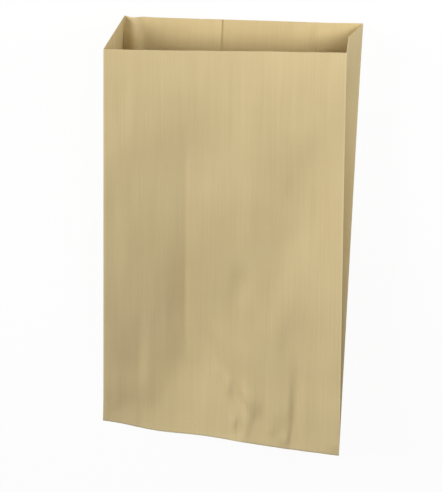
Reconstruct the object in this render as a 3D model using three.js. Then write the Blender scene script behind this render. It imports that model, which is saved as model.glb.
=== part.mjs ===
// Kraft gift bag: one sheet of paper, folded into a tube with a gusset down each side and glued shut at the
// bottom. It lies on its back panel with its mouth open. Millimetres: X runs across the bag, Y from the
// bottom fold to the mouth, Z up from the surface that the bag lies on.

import * as THREE from 'three';

// The sheet as it is cut and folded
const panelWidth = 180; // front and back panel, from side fold to side fold
const gussetDepth = 49; // one gusset opened flat
const bagHeight = 360; // bottom fold to rim
const paper = 0.4; // one layer
const layerGap = 0.3; // air that springy paper keeps between two folded layers
const lapWidth = 14; // glued overlap of the tube's long seam
const lapEdge = -15; // X of the seam's inner edge on the back panel
const flapHeight = 24; // bottom of the tube, folded over and glued to the back panel
const flapLayers = 4; // layers of paper in that fold
const foldRadius = 1.2; // length over which the bottom fold rounds off
const foldFlatness = 0.4; // thickness left at the fold itself, as a share of the stack
const insideEnd = 2; // the glue closes the inside this far above the fold

// The shape that the bag has been opened to
const openLeft = 49; // front to back panel at the mouth, left side
const openRight = 43; // the same on the right side
const frontShift = -13; // how far the front panel's rim leans to the left of the back panel's
const closedLength = 45; // stretch above the bottom fold where the layers still lie together
const openingPower = 1.12; // 1 opens the bag along a straight wedge, more along a hollow curve
const frontBulge = 4; // how far the front panel stands proud half-way up
const bottomRise = 3; // the bottom fold floats this far above the surface
const riseLength = 90; // over this length of the back panel
const bottomArch = 8; // the middle of the bottom fold arches up by this much

// The right bottom corner is bent up along a soft diagonal from the bottom left to the top right corner
const cornerLift = 38; // height of the right bottom corner
const liftOffset = 10; // the bend starts this far beyond the diagonal
const liftBlend = 40; // and takes this long to reach its slope

// Fineness of the mesh
const panelSteps = 12;
const openSteps = 16;

const kraft = new THREE.MeshStandardMaterial({ color: 0xc9b48a, roughness: 0.82, metalness: 0 });

// Room that a side fold takes: two layers with air between them
const foldRoom = 2 * paper + layerGap;
// The whole stack where the gussets lie flat between the panels
const stackHeight = 2 * foldRoom + layerGap;
const flapThickness = flapLayers * paper;

// 0 at the bottom fold up to closedLength, then rising to 1 at the mouth
function openness(y) {
  const t = (y - closedLength) / (bagHeight - closedLength);
  return t <= 0 ? 0 : Math.pow(t, openingPower);
}

// Height of the front panel over the back panel at one side fold
function sideOpening(y, mouthOpening) {
  return stackHeight + (mouthOpening - stackHeight) * openness(y);
}

// How much the front panel stands proud of the straight line between its side folds
function bulge(x, y) {
  const across = 1 - Math.pow((2 * x) / panelWidth, 2);
  const along = Math.sin(Math.PI * Math.min(1, Math.max(0, (y - closedLength) / (bagHeight - closedLength))));
  return frontBulge * across * along;
}

function smoothstep(t) {
  const c = Math.min(1, Math.max(0, t));
  return c * c * (3 - 2 * c);
}

// A gusset as four points from its first fold to its second, creased towards the inside (side is 1 on the
// right of the bag, -1 on its left). Nearly closed, the crease points straight across between the panels;
// fully open, it stands square to the line from fold to fold.
function gussetPoints(first, second, side, y) {
  const chord = new THREE.Vector2().subVectors(second, first);
  const half = chord.length() / 2;
  const along = new THREE.Vector2(0, side).lerp(chord.clone().normalize(), openness(y)).normalize();
  const inward = new THREE.Vector2(-along.y, along.x);
  const depth = Math.sqrt(Math.max(Math.pow(gussetDepth / 2, 2) - half * half, 0));
  const crease = first.clone().lerp(second, 0.5).addScaledVector(inward, depth);
  return [
    first,
    crease.clone().addScaledVector(along, -layerGap / 2),
    crease.clone().addScaledVector(along, layerGap / 2),
    second,
  ];
}

// Outer section at a height y, as points (x, z): along the back panel, the right gusset, the front, the left
function outerSection(y, backFace) {
  const half = panelWidth / 2;
  const shift = frontShift * openness(y);
  const left = sideOpening(y, openLeft);
  const right = sideOpening(y, openRight);
  const loop = [];
  for (let i = 0; i <= panelSteps; i++) {
    loop.push(new THREE.Vector2(-half + (panelWidth * i) / panelSteps, backFace));
  }
  const rightFold = new THREE.Vector2(half + shift, right - foldRoom);
  const leftFold = new THREE.Vector2(-half + shift, left - foldRoom);
  loop.push(...gussetPoints(new THREE.Vector2(half, foldRoom), rightFold, 1, y));
  for (let i = 0; i <= panelSteps; i++) {
    const x = half - (panelWidth * i) / panelSteps;
    const z = right + ((left - right) * i) / panelSteps;
    loop.push(new THREE.Vector2(x + shift, z + bulge(x, y)));
  }
  loop.push(...gussetPoints(leftFold, new THREE.Vector2(-half, foldRoom), -1, y));
  return loop;
}

// Moves every side of a closed section inwards by one layer of paper
function insetSection(loop) {
  const normals = loop.map((p, i) => {
    const q = loop[(i + 1) % loop.length];
    return new THREE.Vector2(p.y - q.y, q.x - p.x).normalize();
  });
  return loop.map((p, i) => {
    const before = normals[(i + loop.length - 1) % loop.length];
    const after = normals[i];
    const sum = new THREE.Vector2().addVectors(before, after);
    return p.clone().addScaledVector(sum, (2 * paper) / sum.lengthSq());
  });
}

// Inner section: the outer one inset, with the second layer of the long seam on its back panel
function innerSection(y) {
  const loop = insetSection(outerSection(y, 0));
  const back = loop.slice(0, panelSteps + 1);
  const seam = [
    new THREE.Vector2(lapEdge - lapWidth, paper),
    new THREE.Vector2(lapEdge - lapWidth, 2 * paper),
    new THREE.Vector2(lapEdge, 2 * paper),
    new THREE.Vector2(lapEdge, paper),
  ];
  return [
    ...back.filter((p) => p.x < lapEdge - lapWidth),
    ...seam,
    ...back.filter((p) => p.x > lapEdge),
    ...loop.slice(panelSteps + 1),
  ];
}

// How far a point lies beyond the diagonal from the bottom left to the top right corner
function beyondDiagonal(x, y) {
  return (bagHeight * (x + panelWidth / 2) - panelWidth * y) / Math.hypot(panelWidth, bagHeight);
}

// Height of the soft bend at a distance beyond the diagonal, for a slope of 1
function bend(distance) {
  const d = distance - liftOffset;
  if (d <= 0) return 0;
  return d < liftBlend ? (d * d) / (2 * liftBlend) : d - liftBlend / 2;
}

// Places a point of the straight bag: raises the bottom fold, arches it and bends the right corner up
function settle(x, y, z) {
  const half = panelWidth / 2;
  const slope = cornerLift / bend(beyondDiagonal(half, 0));
  const low = smoothstep(1 - y / riseLength);
  const arch = bottomArch * (1 - Math.pow(x / half, 2));
  const lift = slope * bend(beyondDiagonal(x, y));
  return new THREE.Vector3(x, y, z + (flapThickness + bottomRise + arch) * low + lift);
}

// Joins a stack of sections of equal count with a wall of triangles
function wall(rows, triangles, flip) {
  for (let r = 0; r + 1 < rows.length; r++) {
    const low = rows[r];
    const high = rows[r + 1];
    for (let i = 0; i < low.length; i++) {
      const j = (i + 1) % low.length;
      triangles.push(flip ? [low[i], high[i], high[j]] : [low[i], high[j], high[i]]);
      triangles.push(flip ? [low[i], high[j], low[j]] : [low[i], low[j], high[j]]);
    }
  }
}

// A copy of a section with its straight sides bowed, so that filling it keeps the points along them
function bowed(section) {
  const bowRadius = 10 * panelWidth;
  return section.map((p) => new THREE.Vector2(p.x, p.y + (p.x * p.x) / (2 * bowRadius)));
}

// Fills a section, or the ring between two of them
function fill(section, row, hole, holeRow, triangles, flip) {
  const points = [...row, ...holeRow];
  const holes = hole.length ? [bowed(hole)] : [];
  for (const [a, b, c] of THREE.ShapeUtils.triangulateShape(bowed(section), holes)) {
    triangles.push(flip ? [points[a], points[c], points[b]] : [points[a], points[b], points[c]]);
  }
}

function geometryOf(triangles) {
  const positions = triangles.flatMap((t) => t.flatMap((p) => [p.x, p.y, p.z]));
  const geometry = new THREE.BufferGeometry();
  geometry.setAttribute('position', new THREE.Float32BufferAttribute(positions, 3));
  geometry.computeVertexNormals();
  return geometry;
}

// Heights of the sections above the folded-over flap
function openLevels() {
  const levels = [];
  for (let i = 0; i <= openSteps; i++) {
    levels.push(THREE.MathUtils.lerp(closedLength, bagHeight, i / openSteps));
  }
  return levels;
}

// Outer section in the bottom fold: the stack and the flap under it, drawn together at the fold itself
function foldSection(y) {
  const section = outerSection(y, -flapThickness);
  const middle = (stackHeight - flapThickness) / 2;
  const round = y < foldRadius ? foldFlatness : 1;
  return section.map((p) => new THREE.Vector2(p.x, middle + (p.y - middle) * round));
}

function settled(sections, heights) {
  return sections.map((section, row) => section.map((p) => settle(p.x, heights[row], p.y)));
}

function bagGeometry() {
  const flapTop = flapHeight - paper;
  const foldHeights = [0, foldRadius, flapHeight / 2, flapTop];
  const outerHeights = [...foldHeights, flapHeight, ...openLevels()];
  const innerHeights = [insideEnd, flapHeight, ...openLevels()];
  const outer = outerHeights.map((y) => (y <= flapTop ? foldSection(y) : outerSection(y, 0)));
  const inner = innerHeights.map((y) => innerSection(y));
  const outerRows = settled(outer, outerHeights);
  const innerRows = settled(inner, innerHeights);
  const triangles = [];
  wall(outerRows, triangles, true);
  wall(innerRows, triangles, false);
  fill(outer[0], outerRows[0], [], [], triangles, false);
  fill(inner[0], innerRows[0], [], [], triangles, true);
  fill(outer.at(-1), outerRows.at(-1), inner.at(-1), innerRows.at(-1), triangles, true);
  return geometryOf(triangles);
}

const giftBag = new THREE.Mesh(bagGeometry(), kraft);
giftBag.name = 'gift_bag';
// The origin lies on the surface under the middle of the bag's outline
giftBag.position.set(-frontShift / 2, -bagHeight / 2, 0);

const model = new THREE.Group();
model.add(giftBag);

export default model;
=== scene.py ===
import math
import bpy
from mathutils import Matrix, Vector, noise


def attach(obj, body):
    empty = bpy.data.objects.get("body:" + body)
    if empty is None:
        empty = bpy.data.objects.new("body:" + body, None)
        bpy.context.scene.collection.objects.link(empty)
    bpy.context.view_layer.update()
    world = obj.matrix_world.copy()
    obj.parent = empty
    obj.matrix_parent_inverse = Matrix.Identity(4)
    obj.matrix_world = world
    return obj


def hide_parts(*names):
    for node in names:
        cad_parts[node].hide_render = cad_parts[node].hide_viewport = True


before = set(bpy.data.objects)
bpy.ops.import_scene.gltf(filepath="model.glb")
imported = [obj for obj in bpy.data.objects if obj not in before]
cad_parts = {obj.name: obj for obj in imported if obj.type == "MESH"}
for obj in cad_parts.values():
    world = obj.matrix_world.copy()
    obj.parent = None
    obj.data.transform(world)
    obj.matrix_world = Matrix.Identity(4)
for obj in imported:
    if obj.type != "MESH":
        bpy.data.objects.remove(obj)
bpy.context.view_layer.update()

print("frame loaded")

# The folded sheet: widths and heights in millimetres, X across, Y up the bag, both from its own middle line
# and its bottom fold. originX and originY carry that to the frame.
sheet = {
    "panelWidth": 180.0,
    "gussetDepth": 49.0,
    "height": 360.0,
    "lapWidth": 14.0,
    "lapEdge": -15.0,
    "flap": 24.0,
    "thickness": 0.2,
    "pitch": 0.3,           # from one folded layer to the next
    "floorGap": 0.02,       # under the back panel
    "originX": 6.5,
    "originY": -180.0,
    "millimetre": 0.001,
}

# Middle of the back panel's paper over the floor
backLevel = sheet["thickness"] / 2 + sheet["floorGap"]

# How far the bag stands open and how it lies
opened = {
    "left": 50.0,
    "right": 43.0,
    "shift": -13.0,
    "cornerPull": 2.6,      # how far the marks of the gusset draw the mouth's back left corner in
    "pullStart": 150.0,     # from this height
    "pullLength": 200.0,    # over this length
    "gussetFlat": 0.55,     # share of their crease that the gussets lose at the mouth
    "flatStart": 230.0,     # from this height
    "flatLength": 120.0,    # over this length
    "closedLength": -12.0,  # where the layers would start to part, beyond the fold
    "partBlend": 40.0,      # and the length over which they reach their slope
    "bulge": 1.5,
    "rise": 1.5,            # height of the back panel over the folded flap
    "riseStart": 27.0,      # up to here
    "riseEnd": 66.0,        # and it is down on the floor from here
    "arch": 0.4,
    "reach": 1.8,           # the shown fold lies lower than the solid's and reaches this much beyond it
    "reachMiddle": 3.4,     # this much more at its middle
    "reachLeft": 4.2,       # and this much more on the left, round reachPlace
    "reachPlace": -50.0,
    "reachWidth": 28.0,
    "cornerLift": 38.0,
    "liftOffset": 10.0,
    "liftBlend": 40.0,
}

# Mesh cells along the sheet
cells = {
    "backLeft": 56,
    "gussetHalf": 9,
    "front": 164,
    "backRight": 76,
    "flap": 8,
    "turn": 6,
    "low": 56,
    "high": 62,
    "lowEnd": 112.0,        # the low rows reach up to here, and the high ones on to the rim
    "crowding": 0.35,       # share by which cells crowd towards the folds
    "sharpAngle": 40,       # degrees from which an edge between two cells shows as a crease
}

# The turn of the bottom fold
turn = {
    "axis": -0.05,          # height of its axis, between the back panel and the flap
    "slack": 0.2,           # the axis lies this much further up than the flat stack is thick
    "length": 2.0,          # of the sheet, between the flap and the bag's first row
}

# Marks of the folded gussets across the back panel, and its long seam
marks = {
    "start": 120.0,         # the marks begin here and are in full after the blend
    "blend": 160.0,
    "places": [-90.0, -81.0, -73.5, -66.0, 46.0, 60.0, 90.0],
    "heights": [0.0, 3.0, 1.5, 1.9, 1.0, 0.95, 0.0],
    # ridges and a crease that start just below the rim: place, height, widths to the left and right
    "lines": [(-77.5, 5.0, 8.5, 2.8), (54.0, 1.1, 14.0, 10.0), (55.4, -1.8, 5.0, 1.2)],
    "rimGap": 1.0,
    "rimBlend": 12.0,
    "lapBlend": 3.0,        # length over which the sheet climbs onto its own other edge
    "lapBefore": 4.0,       # and how far before that edge the climb starts
    "seamLift": 0.6,        # the seam's loose edge at the mouth
    "seamWidth": 5.0,
    "seamStart": 280.0,
    "seamBlend": 60.0,
}

# Broad hollow down the left of the front panel, from its left fold to where the bent corner starts
trough = {
    "left": -88.0,
    "bottom": -28.0,
    "right": 48.0,          # from its bottom to its right side
    "top": 345.0,
    "blend": 110.0,
    "depth": 8.0,
    "turn": 95.0,           # below this height it runs down a little to the right
    "lean": 0.06,
}

# Puckers of the front panel: middle across and up, half width, half length, slope, and how far the middle
# moves across for each millimetre up. A positive slope rises to the right.
puckers = [
    (-5.6, 82.0, 5.0, 25.0, 0.5, -0.33),
    (-15.0, 74.0, 5.0, 24.0, -0.26, -0.3),
    (2.6, 46.0, 1.9, 8.5, 1.35, -0.12),
    (7.0, 47.0, 2.2, 9.0, -0.55, -0.12),
    (17.2, 38.0, 2.3, 10.0, 1.25, -0.28),
    (7.2, 13.0, 2.2, 13.0, 0.7, -0.06),
    (11.6, 13.0, 1.7, 8.5, -1.15, 0.0),
    (15.8, 8.0, 2.0, 8.0, 0.7, 0.0),
    (23.0, 18.0, 3.2, 10.0, -0.7, 0.0),
    (35.5, 24.0, 3.2, 18.0, 0.8, -0.05),
    (43.5, 7.0, 3.0, 6.0, 0.45, 0.0),
    (53.5, 32.0, 2.8, 30.0, -0.7, 0.0),
    (52.0, 7.0, 1.9, 8.0, -0.8, 0.0),
    (60.0, 34.0, 3.4, 40.0, 0.5, 0.0),
    (79.0, 70.0, 11.0, 110.0, 0.34, 0.0),
    (-22.9, 8.0, 1.7, 8.0, 1.1, 0.0),
    (-14.5, 10.0, 3.0, 8.5, -0.7, 0.0),
    (-7.0, 10.0, 1.9, 6.5, 0.6, 0.0),
    (-3.0, 12.0, 2.2, 8.0, -0.6, 0.0),
    (-59.5, 60.0, 3.4, 33.0, 0.42, 0.0),
    (-40.0, 32.0, 9.0, 26.0, -0.34, 0.0),
    (-9.5, 27.0, 5.0, 15.0, -0.38, 0.0),
    (-54.0, 8.0, 3.0, 7.0, -0.45, 0.0),
    (-48.0, 8.0, 2.5, 7.0, 0.4, 0.0),
    (-42.0, 5.0, 2.5, 6.0, -0.45, 0.0),
    (21.0, 142.0, 4.6, 18.0, 0.42, 0.0),
    (8.0, 138.0, 6.0, 18.0, -0.3, 0.0),
    (47.0, 100.0, 5.0, 17.0, -0.32, 0.0),
]

# A pucker is a soft step with a wider step back round it, and dies out up and down
puckerShape = {
    "step": 0.886,          # height at which the step's slope is 1, for a half width of 1
    "counter": 4,           # how many times wider the step back is
    "end": 3,               # half lengths from its middle where it is left out
}

# The sharper valley along the bottom of that hollow, where the bent corner starts
valley = {
    "up": 118.0,
    "wide": 11.0,
    "reach": 44.0,
    "depth": 3.2,
    "rounding": 0.004,      # of its line
    "flat": 0.06,           # about the root of that, so that the line keeps its depth
}

# Slow and fine unevenness of the front panel: size across and up, place in the noise, height
unevenness = {
    "slow": (26.0, 70.0, 3.1, 0.9),
    "fine": (9.0, 34.0, 8.7, 0.22),
    "edge": 12.0,           # it fades out towards the side folds
}

# The bottom fold holds the front panel flat: share of its relief at the fold, and where it is free
creased = {
    "share": 0.15,
    "length": 11.0,
}

# The folded layers under the front panel, as counts of the pitch, and how it comes to rest on them
under = {
    "outside": 3.8,         # over a gusset
    "inside": 2.0,          # between the two gussets
    "blend": 6.0,
    "least": 0.02,          # room that is left where there is none
    "firmness": 4,          # how suddenly the panel stops on them
}


def softStart(d, blend):
    # 0 up to d = 0, then a slope that grows to 1 over the blend
    if d <= 0:
        return 0.0
    return d * d / (2 * blend) if d < blend else d - blend / 2


def openness(y):
    reach = sheet["height"] - opened["closedLength"]
    blend = opened["partBlend"]
    return softStart(y - opened["closedLength"], blend) / softStart(reach, blend)


def smoothstep(t):
    t = min(1.0, max(0.0, t))
    return t * t * (3 - 2 * t)


def sideOpening(y, mouth):
    stack = 4 * sheet["pitch"]
    return stack + (mouth - stack) * openness(y)


def beyondDiagonal(x, y):
    wide, tall = sheet["panelWidth"], sheet["height"]
    return (tall * (x + wide / 2) - wide * y) / math.hypot(wide, tall)


def bend(distance):
    return softStart(distance - opened["liftOffset"], opened["liftBlend"])


cornerSlope = opened["cornerLift"] / bend(beyondDiagonal(sheet["panelWidth"] / 2, 0))


def rest(x, y):
    # how far the resting bag lifts a point of its sheet off the floor
    low = smoothstep((opened["riseEnd"] - y) / (opened["riseEnd"] - opened["riseStart"]))
    arch = opened["arch"] * (1 - (2 * x / sheet["panelWidth"]) ** 2)
    return (opened["rise"] + arch) * low + cornerSlope * bend(beyondDiagonal(x, y))


def foldReach(x):
    # how far the shown fold reaches beyond the solid's
    middle = opened["reachMiddle"] * (1 - (2 * x / sheet["panelWidth"]) ** 2)
    left = opened["reachLeft"] * math.exp(-((x - opened["reachPlace"]) / opened["reachWidth"]) ** 2)
    return opened["reach"] + middle + left


def ripple(kind, x, y):
    across, along, place, height = unevenness[kind]
    return height * noise.noise(Vector((x / across, y / along, place)))


def hollowLine(y):
    # where the bottom of the hollow runs at one height
    return trough["bottom"] + trough["lean"] * max(0.0, trough["turn"] - y)


def hollowRelief(x, y):
    line = hollowLine(y)
    if x < line:
        fall = 1 + (x - line) / (line - trough["left"])
    else:
        fall = 1 - (x - line) / trough["right"]
    share = min(1.0, max(0.0, fall)) * smoothstep((trough["top"] - y) / trough["blend"])
    return -trough["depth"] * share


def puckerRelief(x, y):
    total = 0.0
    for place, height, wide, tall, slope, lean in puckers:
        up = (y - height) / tall
        if abs(up) < puckerShape["end"]:
            off = x - place - lean * (y - height)
            step = math.erf(off / wide) - math.erf(off / (puckerShape["counter"] * wide))
            total += puckerShape["step"] * slope * wide * step * math.exp(-up * up)
    return total


def valleyRelief(x, y):
    off = (x - hollowLine(y)) / valley["wide"]
    away = math.sqrt(off ** 2 + valley["rounding"]) - valley["flat"]
    return -valley["depth"] * math.exp(-away - ((y - valley["up"]) / valley["reach"]) ** 2)


def frontRelief(x, y):
    # crown, hollow, puckers, valley and a slow unevenness of the front panel
    across = 1 - (2 * x / sheet["panelWidth"]) ** 2
    t = (y - opened["closedLength"]) / (sheet["height"] - opened["closedLength"])
    crown = opened["bulge"] * across * math.sin(math.pi * min(1.0, max(0.0, t)))
    total = crown + hollowRelief(x, y) + puckerRelief(x, y) + valleyRelief(x, y)
    held = creased["share"] + (1 - creased["share"]) * smoothstep(y / creased["length"])
    edge = min(1.0, (sheet["panelWidth"] / 2 - abs(x)) / unevenness["edge"])
    return held * total + edge * (ripple("slow", x, y) + ripple("fine", x, y))


def backRelief(x, y):
    # the marks that the folded gussets pressed into the back panel, strongest at the mouth
    up = smoothstep((y - marks["start"]) / marks["blend"])
    below = smoothstep((sheet["height"] - marks["rimGap"] - y) / marks["rimBlend"])
    places = marks["places"]
    heights = marks["heights"]
    turned = heights[-1]
    for i in range(len(places) - 1):
        if x <= places[i + 1]:
            t = smoothstep((x - places[i]) / (places[i + 1] - places[i]))
            turned = heights[i] + (heights[i + 1] - heights[i]) * t
            break
    for place, height, wideLeft, wideRight in marks["lines"]:
        off = (x - place) / (wideLeft if x < place else wideRight)
        turned += height * math.exp(-off * off) * below
    return up * turned


def roomUnder(x, y):
    # how far the front panel can sink before it meets the layers below it
    wide = sheet["panelWidth"] / 2
    shift = opened["shift"] * openness(y)
    part = (x - shift + wide) / (2 * wide)
    front = sideOpening(y, opened["left"]) * (1 - part) + sideOpening(y, opened["right"]) * part
    inside = smoothstep((wide - sheet["gussetDepth"] / 2 - abs(x - shift)) / under["blend"])
    layers = under["outside"] + (under["inside"] - under["outside"]) * inside
    return max(under["least"], front - sheet["pitch"] * layers)


def settledRelief(x, y):
    # the front panel's relief, held off the layers under it
    total = frontRelief(x - opened["shift"] * openness(y), y)
    if total >= 0:
        return total
    return total / (1 + (-total / roomUnder(x, y)) ** under["firmness"]) ** (1 / under["firmness"])


def gussetPoints(first, second, side, y):
    chord = Vector((second[0] - first[0], second[1] - first[1]))
    half = chord.length / 2
    along = Vector((0.0, float(side))).lerp(chord.normalized(), openness(y)).normalized()
    inward = Vector((-along.y, along.x))
    depth = math.sqrt(max((sheet["gussetDepth"] / 2) ** 2 - half * half, 0.0))
    depth *= 1 - opened["gussetFlat"] * smoothstep((y - opened["flatStart"]) / opened["flatLength"])
    middle = Vector(((first[0] + second[0]) / 2, (first[1] + second[1]) / 2)) + inward * depth
    gap = along * (sheet["pitch"] / 2)
    return middle - gap, middle + gap


# Stretches of the path that section gives: the lapped part of the back panel, the front panel, both parts of
# the back panel, and the short ones that go round the folds
lapStretch = 0
frontStretch = 6
backStretches = (lapStretch, 12)
foldStretches = (1, 3, 5, 7, 9, 11)


def section(y):
    # the sheet's path round the bag at one height: (start, end) of each stretch, as (x, z)
    half = sheet["panelWidth"] / 2
    pitch = sheet["pitch"]
    shift = opened["shift"] * openness(y)
    left = sideOpening(y, opened["left"]) - pitch / 2
    right = sideOpening(y, opened["right"]) - pitch / 2
    pull = opened["cornerPull"] * smoothstep((y - opened["pullStart"]) / opened["pullLength"])
    backLeft = (-half + pull, backLevel)
    foldBackLeft = (-half + pull, backLevel + pitch)
    foldFrontLeft = (-half + shift, left - pitch)
    frontLeft = (-half + shift, left)
    frontRight = (half + shift, right)
    foldFrontRight = (half + shift, right - pitch)
    foldBackRight = (half, backLevel + pitch)
    backRight = (half, backLevel)
    leftFront, leftBack = gussetPoints(foldFrontLeft, foldBackLeft, -1, y)
    rightBack, rightFront = gussetPoints(foldBackRight, foldFrontRight, 1, y)
    lapStart = (sheet["lapEdge"], backLevel)
    lapEnd = (sheet["lapEdge"] - sheet["lapWidth"], backLevel)
    return [
        (lapStart, backLeft),
        (backLeft, foldBackLeft),
        (foldBackLeft, leftBack),
        (leftBack, leftFront),
        (leftFront, foldFrontLeft),
        (foldFrontLeft, frontLeft),
        (frontLeft, frontRight),
        (frontRight, foldFrontRight),
        (foldFrontRight, rightFront),
        (rightFront, rightBack),
        (rightBack, foldBackRight),
        (foldBackRight, backRight),
        (backRight, lapEnd),
    ]


def eased(count):
    # places from 0 to 1 that crowd towards both ends, where a panel meets its folds
    even = [i / count for i in range(count + 1)]
    return [t + cells["crowding"] * (smoothstep(t) - t) for t in even]


def columnPlan():
    halfCells = cells["gussetHalf"]
    counts = [
        cells["backLeft"], 1, halfCells, 1, halfCells, 1, cells["front"],
        1, halfCells, 1, halfCells, 1, cells["backRight"],
    ]
    plan = [(0, 0.0)]
    for stretch, count in enumerate(counts):
        plan += [(stretch, t) for t in eased(count)[1:]]
    return plan


def sheetLengths():
    # real length of each stretch of the sheet, so that the paper's grain runs on over the folds
    half = sheet["panelWidth"] / 2
    pitch = sheet["pitch"]
    gusset = sheet["gussetDepth"] / 2
    start = half + sheet["lapEdge"]
    end = half - sheet["lapEdge"] + sheet["lapWidth"]
    return [
        start, pitch, gusset, pitch, gusset, pitch, sheet["panelWidth"],
        pitch, gusset, pitch, gusset, pitch, end,
    ]


def rowPlan():
    # heights along the sheet: negative in the flap, then turns of the fold, then up the bag
    rows = [("flap", -sheet["flap"] * (1 - i / cells["flap"])) for i in range(cells["flap"])]
    rows += [("turn", i / cells["turn"]) for i in range(cells["turn"])]
    start, change, top = turn["length"], cells["lowEnd"], sheet["height"]
    rows += [("bag", start + (change - start) * i / cells["low"]) for i in range(cells["low"])]
    rows += [("bag", change + (top - change) * i / cells["high"]) for i in range(cells["high"] + 1)]
    return rows


def pointOf(stretch, t, y, path):
    (x0, z0), (x1, z1) = path[stretch]
    x = x0 + (x1 - x0) * t
    z = z0 + (z1 - z0) * t
    (leftX, leftZ), (rightX, rightZ) = path[frontStretch]
    front = leftZ + (rightZ - leftZ) * (x - leftX) / (rightX - leftX)
    z += settledRelief(x, y) * min(1.0, max(0.0, (z - backLevel) / (front - backLevel)))
    if stretch == lapStretch:
        climb = sheet["lapEdge"] - sheet["lapWidth"] - marks["lapBefore"]
        z += sheet["pitch"] * smoothstep((x - climb) / marks["lapBlend"])
        loose = smoothstep((x - sheet["lapEdge"] + marks["seamWidth"]) / marks["seamWidth"])
        z += marks["seamLift"] * loose * smoothstep((y - marks["seamStart"]) / marks["seamBlend"])
    if stretch in backStretches:
        z += backRelief(x, y)
    return x, z


def foldedPoint(kind, value, stretch, t, path):
    # a point in the turn of the bottom fold or in the flap under it
    (x0, z0), (x1, z1) = path[stretch]
    x = x0 + (x1 - x0) * t
    flat = z0 + (z1 - z0) * t
    level = flat - turn["axis"]
    deepest = 4 * sheet["pitch"] + turn["slack"]
    if kind == "flap":
        return x, deepest - value, turn["axis"] - level
    angle = math.pi * (1 - value)
    relief = (pointOf(stretch, t, 0.0, path)[1] - flat) * smoothstep(value)
    return x, deepest - level * math.sin(angle), turn["axis"] + level * math.cos(angle) + relief


def placeSheet(columns, rows):
    # where every crossing of the columns and rows lies, row by row
    closedPath = section(0.0)
    points = []
    for kind, value in rows:
        path = section(value) if kind == "bag" else closedPath
        for stretch, t in columns:
            if kind == "bag":
                y = value
                x, z = pointOf(stretch, t, y, path)
            else:
                x, y, z = foldedPoint(kind, value, stretch, t, path)
            z += rest(x, y)
            y -= foldReach(x) * (1 - y / sheet["height"])
            points.append((x, y, z))
    return points


# Painted highlight along the folds, where their edges catch the light, as paler paper: half widths in
# millimetres, and shares of the full highlight and colour
paintedHighlight = {
    "sideWidth": 1.3,
    "bottomWidth": 1.6,
    "bottomShare": 0.8,
    "colourShare": 0.4,
}


def activate(obj):
    bpy.ops.object.select_all(action="DESELECT")
    obj.select_set(True)
    bpy.context.view_layer.objects.active = obj


def plainGrid(columns, rows):
    # the bag's mesh as a flat grid, and the column and row of each of its points
    across, along = len(columns) - 1, len(rows) - 1
    bpy.ops.object.select_all(action="DESELECT")
    bpy.ops.mesh.primitive_grid_add(
        x_subdivisions=across, y_subdivisions=along, size=1.0, location=(0, 0, 0)
    )
    bag = bpy.context.active_object
    bag.name = "gift_bag_paper"
    places = [(round((v.co.x + 0.5) * across), round((v.co.y + 0.5) * along)) for v in bag.data.vertices]
    return bag, places


def foldGrid(mesh, places, columns, rows):
    points = placeSheet(columns, rows)
    mm = sheet["millimetre"]
    for vertex, (i, j) in zip(mesh.vertices, places):
        x, y, z = points[j * len(columns) + i]
        vertex.co = ((x + sheet["originX"]) * mm, (y + sheet["originY"]) * mm, z * mm)


# paints the fold highlight: 1 on the side folds and a share of it on the bottom fold, falling off over the
# half widths
def paintFoldHighlight(mesh, places, widths, heights, foldLines):
    highlightAttribute = mesh.attributes.new("foldHighlight", "FLOAT", "POINT")
    for point, (i, j) in zip(highlightAttribute.data, places):
        near = min(abs(widths[i] - line) for line in foldLines)
        bottom = abs(heights[j] - turn["length"] / 2)
        atBottom = paintedHighlight["bottomShare"] * (1 - bottom / paintedHighlight["bottomWidth"])
        point.value = max(0.0, 1 - near / paintedHighlight["sideWidth"], atBottom)


def layPattern(mesh, places, widths, heights):
    # the pattern's coordinates are metres on the flat sheet
    uv = mesh.uv_layers.active.data
    for loop in mesh.loops:
        i, j = places[loop.vertex_index]
        uv[loop.index].uv = (widths[i] * sheet["millimetre"], heights[j] * sheet["millimetre"])


def thicken(bag):
    # turns the paper's outside out and gives it its thickness
    activate(bag)
    bpy.ops.object.mode_set(mode="EDIT")
    bpy.ops.mesh.select_all(action="SELECT")
    bpy.ops.mesh.flip_normals()
    bpy.ops.object.mode_set(mode="OBJECT")
    wall = bag.modifiers.new("paper", "SOLIDIFY")
    wall.thickness = sheet["thickness"] * sheet["millimetre"]
    wall.offset = 0
    bpy.ops.object.modifier_apply(modifier=wall.name)
    bpy.ops.object.shade_smooth_by_angle(angle=math.radians(cells["sharpAngle"]))


def makeBag():
    columns = columnPlan()
    rows = rowPlan()
    bag, places = plainGrid(columns, rows)
    foldGrid(bag.data, places, columns, rows)
    lengths = sheetLengths()
    starts = [sum(lengths[:i]) for i in range(len(lengths))]
    widths = [starts[stretch] + lengths[stretch] * t for stretch, t in columns]
    heights = [turn["length"] * value if kind == "turn" else value for kind, value in rows]
    foldLines = [starts[i] + lengths[i] / 2 for i in foldStretches]
    paintFoldHighlight(bag.data, places, widths, heights, foldLines)
    layPattern(bag.data, places, widths, heights)
    thicken(bag)
    return bag


# Kraft paper: ribbed brown sheet, smooth and a little glossy outside
kraft = {
    "dark": (0.5, 0.385, 0.195),
    "light": (0.72, 0.59, 0.33),
    # colour of the painted highlight along the folds
    "paintedHighlight": (0.78, 0.67, 0.43),
    "roughness": 0.6,
    "specular": 0.2,
    "ribBump": 0.00005,
    "bumpStrength": 0.5,
    "placeAlong": 0.37,     # a pattern's place along the sheet, as a share of its place across
}

# Patterns of the paper: size across and along the sheet in metres, detail, and place in the noise
patterns = {
    "ribs": (0.0012, 0.09, 2, 3),
    "streaks": (0.007, 0.16, 2, 11),
    "clouds": (0.06, 0.06, 2, 5),
    "fibres": (0.0007, 0.0014, 3, 7),
}

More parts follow.
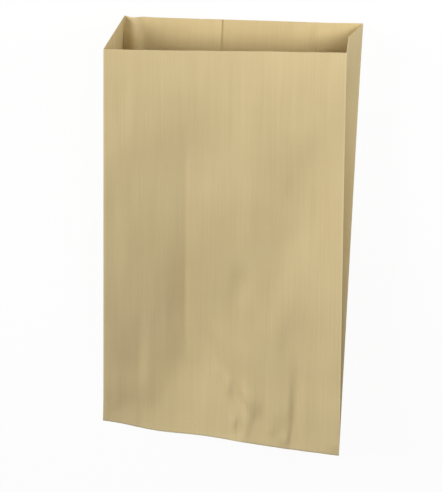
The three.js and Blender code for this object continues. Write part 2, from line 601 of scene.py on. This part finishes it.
# Share of each pattern in the paper's tone and in its bumps
toneShares = {"ribs": 0.24, "streaks": 0.16, "clouds": 0.3, "fibres": 0.22}
bumpShares = {"ribs": 0.7, "fibres": 0.3}


def link(tree, source, output, target, entry):
    tree.links.new(source.outputs[output], target.inputs[entry])


def stretchedNoise(tree, coordinates, kind):
    acrossSize, alongSize, detail, place = patterns[kind]
    mapping = tree.nodes.new("ShaderNodeMapping")
    mapping.inputs["Scale"].default_value = (1 / acrossSize, 1 / alongSize, 1)
    mapping.inputs["Location"].default_value = (place, place * kraft["placeAlong"], 0)
    pattern = tree.nodes.new("ShaderNodeTexNoise")
    pattern.noise_dimensions = "2D"
    pattern.inputs["Scale"].default_value = 1
    pattern.inputs["Detail"].default_value = detail
    link(tree, coordinates, "UV", mapping, "Vector")
    link(tree, mapping, "Vector", pattern, "Vector")
    return pattern


def weighted(tree, terms):
    # adds up patterns that swing about 0.5, each by its own weight, round 0.5
    total = None
    for pattern, weight in terms:
        step = tree.nodes.new("ShaderNodeMath")
        step.operation = "MULTIPLY_ADD"
        step.inputs[1].default_value = weight
        link(tree, pattern, 0, step, 0)
        if total is None:
            step.inputs[2].default_value = 0.5 - 0.5 * sum(w for _, w in terms)
        else:
            link(tree, total, 0, step, 2)
        total = step
    return total


def kraftMaterial():
    material = bpy.data.materials.new("kraftPaper")
    material.use_nodes = True
    tree = material.node_tree
    shader = tree.nodes["Principled BSDF"]
    shader.inputs["Roughness"].default_value = kraft["roughness"]
    shader.inputs["Specular IOR Level"].default_value = kraft["specular"]
    coordinates = tree.nodes.new("ShaderNodeTexCoord")
    made = {kind: stretchedNoise(tree, coordinates, kind) for kind in patterns}
    tone = weighted(tree, [(made[kind], share) for kind, share in toneShares.items()])
    tone.use_clamp = True
    colour = tree.nodes.new("ShaderNodeMix")
    colour.data_type = "RGBA"
    colour.inputs["A"].default_value = (*kraft["dark"], 1)
    colour.inputs["B"].default_value = (*kraft["light"], 1)
    # painted highlight: the fold attribute lightens the paper towards the highlight colour
    highlightAttribute = tree.nodes.new("ShaderNodeAttribute")
    highlightAttribute.attribute_name = "foldHighlight"
    highlightedColour = tree.nodes.new("ShaderNodeMix")
    highlightedColour.data_type = "RGBA"
    highlightedColour.inputs["B"].default_value = (*kraft["paintedHighlight"], 1)
    pale = tree.nodes.new("ShaderNodeMath")
    pale.operation = "MULTIPLY"
    pale.inputs[1].default_value = paintedHighlight["colourShare"]
    link(tree, tone, 0, colour, "Factor")
    link(tree, colour, "Result", highlightedColour, "A")
    link(tree, highlightAttribute, "Fac", pale, 0)
    link(tree, pale, 0, highlightedColour, "Factor")
    link(tree, highlightedColour, "Result", shader, "Base Color")
    height = weighted(tree, [(made[kind], share) for kind, share in bumpShares.items()])
    bump = tree.nodes.new("ShaderNodeBump")
    bump.inputs["Distance"].default_value = kraft["ribBump"]
    bump.inputs["Strength"].default_value = kraft["bumpStrength"]
    link(tree, height, 0, bump, "Height")
    link(tree, bump, "Normal", shader, "Normal")
    return material


# Camera: a long lens over the bag's mouth, picture up towards the mouth
view = {
    "focal": 9000.0,       # in pixels of the photograph's frame
    "frameHeight": 492.0,
    "sensor": 36.0,
    "distance": 6.791,
    "yaw": -1.94,
    "tilt": 32.76,
    "roll": 3.04,
    "aimX": -0.00779,
    "aimY": -0.01761,
    "clip": 100.0,
}


def makeCamera():
    yaw, tilt, roll = (math.radians(view[k]) for k in ("yaw", "tilt", "roll"))
    forward = -Vector((math.sin(yaw) * math.cos(tilt), math.sin(tilt), math.cos(yaw) * math.cos(tilt)))
    level = Vector((math.cos(yaw), 0, -math.sin(yaw)))
    upright = level.cross(forward)
    right = level * math.cos(roll) + upright * math.sin(roll)
    up = upright * math.cos(roll) - level * math.sin(roll)
    centre = Vector((sheet["originX"] * sheet["millimetre"], 0, 0))
    place = centre + right * view["aimX"] + up * view["aimY"] - forward * view["distance"]
    bpy.ops.object.camera_add(location=place)
    camera = bpy.context.active_object
    camera.rotation_euler = Matrix((right, up, -forward)).transposed().to_euler()
    camera.data.sensor_width = view["sensor"]
    camera.data.lens = view["focal"] * view["sensor"] / view["frameHeight"]
    camera.data.clip_end = view["clip"]
    bpy.context.scene.camera = camera


# Light: a pale room, a strong lamp on the left, one over the mouth and a weak one on the right of the mouth
light = {
    "room": 0.213,
    "lamps": [
        # place, size and power
        ((-1.2, 0.52, 0.9), 0.6, 17.3),
        ((0.12, 0.46, 0.56), 0.3, 1.38),
        ((0.3, 0.4, 0.3), 0.2, 0.87),
    ],
    "floorSize": 80.0,
    "floorColour": (0.9, 0.9, 0.895, 1),
    "floorRoughness": 0.9,
    "floorGlow": 0.94,      # share of plain white in what the camera sees of the floor
}


def cameraShare(tree):
    # 1 for rays from the camera and for what shows in gloss or through glass
    path = tree.nodes.new("ShaderNodeLightPath")
    first = tree.nodes.new("ShaderNodeMath")
    first.operation = "MAXIMUM"
    second = tree.nodes.new("ShaderNodeMath")
    second.operation = "MAXIMUM"
    link(tree, path, "Is Camera Ray", first, 0)
    link(tree, path, "Is Glossy Ray", first, 1)
    link(tree, first, 0, second, 0)
    link(tree, path, "Is Transmission Ray", second, 1)
    return second


def makeRoom():
    world = bpy.data.worlds.new("room")
    bpy.context.scene.world = world
    world.use_nodes = True
    tree = world.node_tree
    plain = tree.nodes["Background"]
    plain.inputs["Color"].default_value = (1, 1, 1, 1)
    plain.inputs["Strength"].default_value = light["room"]
    shown = tree.nodes.new("ShaderNodeBackground")
    shown.inputs["Color"].default_value = (1, 1, 1, 1)
    shown.inputs["Strength"].default_value = 1
    mix = tree.nodes.new("ShaderNodeMixShader")
    link(tree, cameraShare(tree), 0, mix, 0)
    link(tree, plain, 0, mix, 1)
    link(tree, shown, 0, mix, 2)
    link(tree, mix, 0, tree.nodes["World Output"], 0)
    bpy.ops.object.select_all(action="DESELECT")
    bpy.ops.mesh.primitive_plane_add(size=light["floorSize"], location=(0, 0, 0))
    floor = bpy.context.active_object
    floor.name = "floor"
    material = bpy.data.materials.new("floorWhite")
    material.use_nodes = True
    tree = material.node_tree
    shader = tree.nodes["Principled BSDF"]
    shader.inputs["Base Color"].default_value = light["floorColour"]
    shader.inputs["Roughness"].default_value = light["floorRoughness"]
    shader.inputs["Specular IOR Level"].default_value = 0
    glow = tree.nodes.new("ShaderNodeEmission")
    glow.inputs["Strength"].default_value = 1
    share = tree.nodes.new("ShaderNodeMath")
    share.operation = "MULTIPLY"
    share.inputs[1].default_value = light["floorGlow"]
    mix = tree.nodes.new("ShaderNodeMixShader")
    link(tree, cameraShare(tree), 0, share, 0)
    link(tree, share, 0, mix, 0)
    link(tree, shader, 0, mix, 1)
    link(tree, glow, 0, mix, 2)
    link(tree, mix, 0, tree.nodes["Material Output"], 0)
    floor.data.materials.append(material)


def makeLamps():
    for spot, size, power in light["lamps"]:
        place = Vector(spot)
        bpy.ops.object.light_add(type="AREA", location=place)
        lamp = bpy.context.active_object
        lamp.data.shape = "SQUARE"
        lamp.data.size = size
        lamp.data.energy = power
        lamp.rotation_euler = (-place).to_track_quat("-Z", "Y").to_euler()


bpy.context.scene.view_settings.view_transform = "Standard"
makeCamera()
makeRoom()
makeLamps()
print("camera, room and lamps made")

bag = makeBag()
bag.data.materials.append(kraftMaterial())
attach(bag, "root")
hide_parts("gift_bag")
print("bag folded:", len(bag.data.polygons), "faces")
